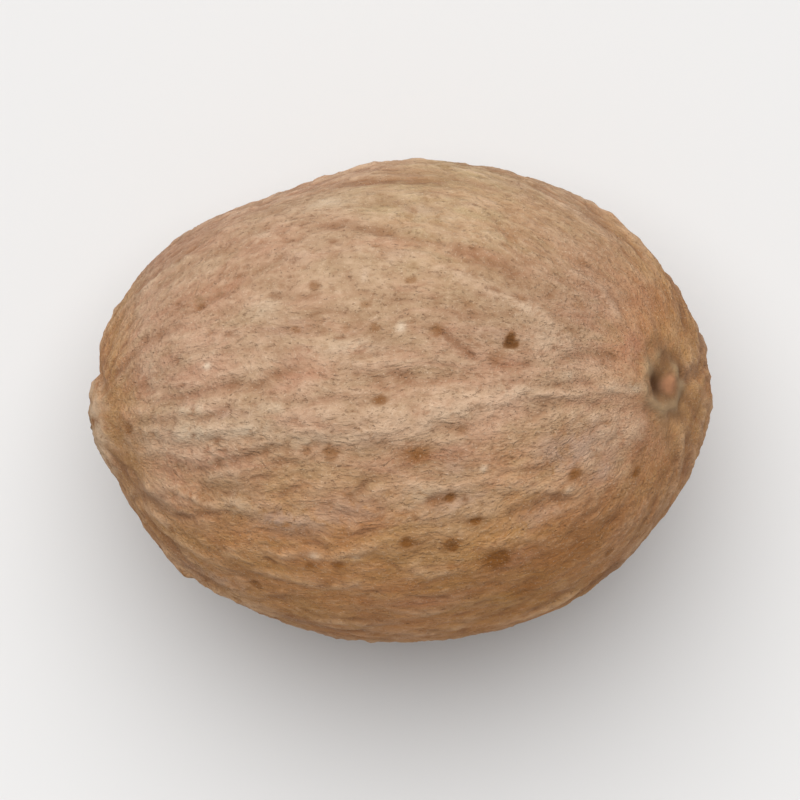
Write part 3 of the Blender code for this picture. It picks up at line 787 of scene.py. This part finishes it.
def warm_sides(skin):
    """The lower side (-Y), both ends and the belly are warmer than the crown: mostly painted
    warm reflected light, partly the skin's own browner tone. The flanks beside the chalaza,
    the upper left shoulder and the lower side are darker: partly painted shade, partly
    darker skin."""
    for index, place in enumerate(skin.form):
        x, y, _ = place / MM
        down = -skin.facing[index].z
        sway = noise.noise(place / (TONE_BUMPS * MM))
        under = 1.0 - part(down, *PALE_UNDER)
        lower = under * part(-y + LOWER_SWAY * sway, *WARM_LOWER)
        right = part(x + END_SWAY * sway, *WARM_RIGHT)
        left = part(-x + END_SWAY * sway - LEFT_SLANT * y, *WARM_LEFT)
        warm = WARMTH * max(lower, right, left, part(down, *WARM_BELLY))
        warm += part(x, *WARM_CORNER[0]) * part(-y, *WARM_CORNER[1])
        olive = part(y + sway, *OLIVE_CORNER[0]) * part(x + OLIVE_SWAY * sway, *OLIVE_CORNER[1])
        flank = part(x + sway, *DARK_FLANK[0]) * part(abs(y - FLANK_MIDDLE), *DARK_FLANK[1])
        shoulder = part(-x + sway, *DARK_SHOULDER[0]) * part(y, *DARK_SHOULDER[1])
        foot = under * part(-y + sway, *DARK_FOOT)
        skin.paint["warm"][index] = warm
        skin.paint["olive"][index] = olive
        skin.paint["shade"][index] = max(flank, shoulder, foot)


def draw_strokes(skin):
    """The ridges and furrows listed above, then strewn ones on the rest of the skin."""
    for strength, width, *route in STROKES:
        points = [skin.seen_by_camera(x, y) for x, y in zip(route[::2], route[1::2])]
        skin.stroke(points, width, strength)
    chance = random.Random(STROKE_SEED)
    for _ in range(STRAY_STROKES):
        start = chance.randrange(len(skin.form))
        if skin.facing[start].z > STRAY_TOP:
            continue
        spot = skin.form[start]
        points = [spot]
        for _ in range(round(chance.uniform(*STRAY_LENGTH))):
            spot = skin.solid.find_nearest(spot + skin.lengthwise(spot) * MM)[0]
            points.append(spot)
        strength = chance.uniform(*STRAY_STRENGTH) * chance.choice((-1.0, 1.0))
        skin.stroke(points, chance.uniform(*STRAY_WIDTH), strength)


def paint_marks(skin):
    for paint, marks in MARKS.items():
        for x, y, length, width, strength in marks:
            skin.brush(paint, skin.seen_by_camera(x, y), length, width, strength)


def press_pits(skin):
    for x, y, length, width, depth in NAMED_PITS:
        centre = skin.seen_by_camera(x, y)
        dark = DARK_PAINT * max(0.0, depth - DARK_FROM_DEPTH)
        skin.press(centre, length, width, depth)
        skin.stain("ochre", centre, length, width, min(1.0, WARM_PAINT * depth))
        skin.stain("pit", centre, length, width, min(1.0, dark))
    chance = random.Random(PIT_SEED)
    for _ in range(STREWN_PITS):
        centre = skin.form[chance.randrange(len(skin.form))]
        length = chance.uniform(*STREWN_LENGTH)
        width = chance.uniform(*STREWN_WIDTH)
        depth = chance.uniform(*STREWN_DEPTH)
        skin.press(centre, length, width, depth)
        # Darker round each strewn pit: partly darker skin, partly painted shade.
        skin.brush("hollow", centre, STREWN_SPREAD * length, STREWN_SPREAD * width, 1.0)


def sink_chalaza(skin):
    """The dark pit with nubs beside it, a pale crumpled rim and a broken groove round them."""
    centre = skin.seen_by_camera(*CHALAZA_MIDDLE)
    for index, distance in skin.around(centre, 1.0, 1.0):
        crumple = ease(noise.noise(skin.form[index] / (CRUMPLE_SIZE * MM)), *CRUMPLE)
        faded = ease((skin.form[index].x - centre.x) / MM, *GROOVE_FADE)
        rim = band(distance, *CHALAZA_RIM) * (RIM_CRUMPLE[0] + RIM_CRUMPLE[1] * crumple)
        groove = band(distance, *CHALAZA_GROOVE) * (GROOVE_CRUMPLE[0] + GROOVE_CRUMPLE[1] * crumple)
        groove *= GROOVE_LEFT + (1.0 - GROOVE_LEFT) * faded
        skin.height[index] += RIM_HEIGHT * rim + GROOVE_HEIGHT * groove
        skin.paint["rim"][index] += rim
        skin.paint["ring"][index] += GROOVE_PAINT * groove + band(distance, *INNER_PAINT)
    for x, y, length, width, strength in GROOVE_MARKS:
        spot = skin.seen_by_camera(x, y)
        skin.press(spot, length, width, GROOVE_MARK_DEPTH * strength)
        skin.brush("ring", spot, length, width, strength)

    x, y, size, depth = CHALAZA_PIT
    centre = skin.seen_by_camera(x, y)
    skin.press(centre, size, size, depth)
    length, width, strength = PIT_PAINT
    skin.brush("pit", centre, length * size, width * size, strength)

    for x, y, size, height in CHALAZA_NUBS:
        centre = skin.seen_by_camera(x, y)
        skin.press(centre, size, size, -height)
        skin.brush("pit", centre, size, size, -NUB_CLEARS_PIT)
        skin.brush("nub", centre, size, size, NUB_PAINT * height)


def finish_hilum(skin):
    """The knob's pale patch with furrows that run into it and a shallow scar."""
    centre = skin.solid.ray_cast(skin.middle, HILUM * (skin.high - skin.low))[0]
    notch_paint, notch_spread = NOTCH_PAINT
    for index, distance in skin.around(centre, HILUM_REACH, HILUM_REACH):
        distance *= HILUM_REACH
        furrow = skin.flow[index].cells(*HILUM_CELLS)
        height = band(distance, *HILUM_KNOB) + band(distance, *HILUM_SCAR)
        height += furrow * band(distance, *HILUM_FURROWS) + band(distance, *HILUM_GROOVE)
        # Darker in the groove round the knob and in the notches: partly darker skin, partly painted shade in
        # these recesses.
        hollow = (0.5 + furrow) * band(distance, *HILUM_GROOVE_PAINT)
        towards = (skin.form[index].y - centre.y) / (max(NOTCH_NEAREST, distance) * MM)
        for side, away, width, depth in NOTCHES:
            notch = part(side * towards, depth, *NOTCH_SIDE)
            height -= band(distance, away, width, notch)
            hollow += band(distance, away, notch_spread * width, notch_paint * notch)
        skin.height[index] += height
        skin.paint["hollow"][index] += hollow
        skin.paint["hilum"][index] += 1.0 - ease(distance + HILUM_PATCH_SWAY * furrow, *HILUM_PATCH)
        skin.paint["pit"][index] += band(distance, *HILUM_SCAR_PAINT)


class Wire:
    """An output of a material's nodes. Sums on it add Math nodes."""

    def __init__(self, finish, socket):
        self.finish = finish
        self.socket = socket

    def __add__(self, other):
        return self.finish.math("ADD", self, other)

    def __sub__(self, other):
        return self.finish.math("SUBTRACT", self, other)

    def __rsub__(self, other):
        return self.finish.math("SUBTRACT", other, self)

    def __mul__(self, other):
        return self.finish.math("MULTIPLY", self, other)

    __radd__ = __add__
    __rmul__ = __mul__

    def __abs__(self):
        return self.finish.math("ABSOLUTE", self, 0.0)


class Finish:
    """A material while it is made."""

    def __init__(self, name):
        self.material = bpy.data.materials.new(name)
        self.material.use_nodes = True
        self.tree = self.material.node_tree
        self.shader = self.tree.nodes["Principled BSDF"]

    def connect(self, node, identifier, value):
        socket = next(item for item in node.inputs if item.identifier == identifier)
        if isinstance(value, Wire):
            self.tree.links.new(value.socket, socket)
        elif isinstance(value, tuple) and socket.type == "RGBA":
            socket.default_value = (*value, 1.0)
        else:
            socket.default_value = value

    def node(self, kind, settings, sockets, output=0):
        """Adds a node: its settings first, then its sockets' values or wires."""
        node = self.tree.nodes.new(kind)
        for name, value in settings.items():
            setattr(node, name, value)
        for identifier, value in sockets.items():
            self.connect(node, identifier, value)
        return Wire(self, node.outputs[output])

    def math(self, operation, first, second):
        return self.node("ShaderNodeMath", {"operation": operation}, {"Value": first, "Value_001": second})

    def slope(self, value, low, high):
        """0 up to low, 1 from high on."""
        sockets = {"Value": value, "From Min": low, "From Max": high}
        return self.node("ShaderNodeMapRange", {"interpolation_type": "SMOOTHSTEP"}, sockets)

    def layer(self, under, over, share, blend="MIX"):
        """A colour laid over another, by a share from 0 to 1."""
        settings = {"data_type": "RGBA", "blend_type": blend, "clamp_factor": True}
        sockets = {"Factor_Float": share, "A_Color": under, "B_Color": over}
        return self.node("ShaderNodeMix", settings, sockets, output=2)

    def attribute(self, name, output):
        return self.node("ShaderNodeAttribute", {"attribute_name": name}, {}, output)

    def cloud(self, where, size, detail, roughness, twist):
        """Noise whose lumps are this large in mm."""
        kind = {"Detail": detail, "Roughness": roughness, "Distortion": twist}
        sockets = {"Vector": where, "Scale": 1.0 / (size * MM), **kind}
        return self.node("ShaderNodeTexNoise", {}, sockets)

    def folds(self, where, size):
        """Rounded folds with thin winding valleys: 0 along the valleys, 1 on the folds."""
        coarse = abs(self.cloud(where, size, *COARSE_FOLDS) - 0.5)
        fine = abs(self.cloud(where, 0.5 * size, *FINE_FOLDS) - 0.5)
        coarse_folds = COARSE_SHARE * self.slope(coarse, 0.0, COARSE_VALLEYS)
        return coarse_folds + FINE_SHARE * self.slope(fine, 0.0, FINE_VALLEYS)

    def set(self, values):
        for name, value in values.items():
            self.connect(self.shader, name, value)


class SkinFinish(Finish):
    """The skin's material, with its paints and clouds by name."""

    def __init__(self):
        super().__init__("nutmeg_skin")
        even = self.node("ShaderNodeTexCoord", {}, {}, output=3)
        flow = self.attribute("grain", 1)
        lying = {"even": even}
        for name, squeeze in DRAWN_OUT.items():
            sockets = {"Vector": flow, "Scale": (1.0, 1.0, squeeze)}
            lying[name] = self.node("ShaderNodeMapping", {"vector_type": "POINT"}, sockets)
        self.paints = {name: self.attribute(name, 2) for name in PAINTS}
        self.clouds = {name: self.cloud(lying[way], *kind) for name, (way, *kind) in CLOUDS.items()}
        self.flecks = self.slope(self.clouds["flecks"], *FLECKS)
        self.points = self.slope(self.clouds["points"], *POINTS)
        drawn_folds = self.folds(lying["crinkle"], DRAWN_FOLDS)
        plain_folds = self.folds(even, PLAIN_FOLDS)
        self.folded = drawn_folds + self.paints["ends"] * (plain_folds - drawn_folds)
        # Crests turn tan where the painted warm reflected light lies.
        ridge = self.layer(COLOURS["ridge beige"], COLOURS["ridge tan"], self.paints["warm"])
        self.colours = {**COLOURS, **TINTS, "ridge": ridge}
        calm = 1.0 - BLOOM_CALM * self.paints["bloom"]
        self.places = {
            **self.paints,
            "all over": 1.0,
            "chance": 1.0 - DRAWN_CALM * self.paints["drawn"],
            "calm": calm,
            "valleys": calm * (1.0 - self.folded),
            "flecks": calm * self.flecks,
            "points": calm * self.points,
        }

    def colour(self):
        """The two grounds with the coats laid over them in turn."""
        ground = self.slope(0.5 * self.clouds["tint"] + 0.5 * self.clouds["patches"], *GROUND)
        colour = self.layer(self.colours["pink brown"], self.colours["olive brown"], ground)
        for name, share, place, *broken in COATS:
            amount = share * self.places[place]
            if broken:
                cloud, low, high = broken
                amount = amount * self.slope(self.clouds[cloud], low, high)
            blend = "MULTIPLY" if name in TINTS else "MIX"
            colour = self.layer(colour, self.colours[name], amount, blend)
        return colour

    def bump(self):
        relief = (BUMP_FOLDS - BUMP_FOLDS_LOST * self.paints["ends"]) * self.folded
        parts = {**self.clouds, "flecks": self.flecks, "points": self.points}
        for name, share in BUMP_SHARES.items():
            relief = relief + share * parts[name]
        sockets = {"Strength": 1.0, "Distance": BUMP_DISTANCE, "Height": relief}
        return self.node("ShaderNodeBump", {}, sockets)

    def roughness(self):
        mottles = self.slope(self.clouds["mottle"], *SHINING_MOTTLES)
        return ROUGHNESS - CREST_SHINE * self.paints["crest"] - MOTTLE_SHINE * mottles


def skin_material():
    finish = SkinFinish()
    finish.set({"Base Color": finish.colour(), "Roughness": finish.roughness(), "Normal": finish.bump()})
    finish.set({"Specular IOR Level": SPECULAR, "Sheen Weight": SHEEN, "Sheen Roughness": SHEEN_ROUGHNESS})
    return finish.material


def floor_material():
    finish = Finish("floor_paint")
    finish.set({"Base Color": FLOOR_COLOUR, "Roughness": FLOOR_ROUGHNESS})
    finish.set({"Specular IOR Level": FLOOR_SPECULAR})
    return finish.material


def add_object(name, data):
    made = bpy.data.objects.new(name, data)
    bpy.context.scene.collection.objects.link(made)
    return made


def make_floor():
    bm = bmesh.new()
    bmesh.ops.create_grid(bm, x_segments=1, y_segments=1, size=FLOOR_SIZE / 2.0)
    mesh = bpy.data.meshes.new("floor")
    bm.to_mesh(mesh)
    bm.free()
    mesh.materials.append(floor_material())
    add_object("floor", mesh)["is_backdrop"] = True


def light_up():
    """A wide soft light from above and a little from +Y, and a backdrop that dims upwards."""
    light = bpy.data.lights.new("soft_light", "SUN")
    light.energy = LIGHT_STRENGTH
    light.angle = LIGHT_SPREAD
    lamp = add_object("soft_light", light)
    lamp.rotation_euler = Vector(LIGHT_FROM).to_track_quat("Z", "Y").to_euler()

    world = bpy.data.worlds.new("backdrop")
    world.use_nodes = True
    nodes = world.node_tree.nodes
    links = world.node_tree.links
    direction = nodes.new("ShaderNodeTexCoord")
    height = nodes.new("ShaderNodeSeparateXYZ")
    ramp = nodes.new("ShaderNodeValToRGB")
    for stop, (place, colour) in zip(ramp.color_ramp.elements, BACKDROP):
        stop.position = place
        stop.color = colour
    links.new(direction.outputs["Generated"], height.inputs["Vector"])
    links.new(height.outputs["Z"], ramp.inputs["Fac"])
    links.new(ramp.outputs["Color"], nodes["Background"].inputs["Color"])
    bpy.context.scene.world = world


def place_camera(low, high):
    camera = bpy.data.cameras.new("camera")
    camera.lens = CAMERA_LENS
    camera.sensor_width = CAMERA_SENSOR
    camera.clip_start = CAMERA_NEAREST
    eye = add_object("camera", camera)
    eye.location = camera_place(low, high)
    bpy.context.scene.camera = eye


def make_nutmeg(node):
    skin = Skin(node)
    wrinkle(skin)
    warm_sides(skin)
    draw_strokes(skin)
    paint_marks(skin)
    press_pits(skin)
    sink_chalaza(skin)
    finish_hilum(skin)
    mesh = skin.finish()
    mesh.materials.append(skin_material())
    nutmeg = add_object("nutmeg_skin", mesh)
    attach(nutmeg, "root")
    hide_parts(node.name)


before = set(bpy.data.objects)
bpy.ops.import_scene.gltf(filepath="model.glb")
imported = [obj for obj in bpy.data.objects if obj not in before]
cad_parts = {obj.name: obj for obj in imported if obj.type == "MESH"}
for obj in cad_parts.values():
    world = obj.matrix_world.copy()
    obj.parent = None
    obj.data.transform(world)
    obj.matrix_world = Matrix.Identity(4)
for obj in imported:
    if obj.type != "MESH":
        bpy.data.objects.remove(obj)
cad_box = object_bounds()
noise.seed_set(NOISE_SEED)
make_nutmeg(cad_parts["nutmeg"])
make_floor()
light_up()
place_camera(*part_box("nutmeg"))
bpy.context.scene.view_settings.view_transform = "Standard"
boxes = {"cad": cad_box, "visual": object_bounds()}
{name: [list(corner) for corner in box] for name, box in boxes.items()}
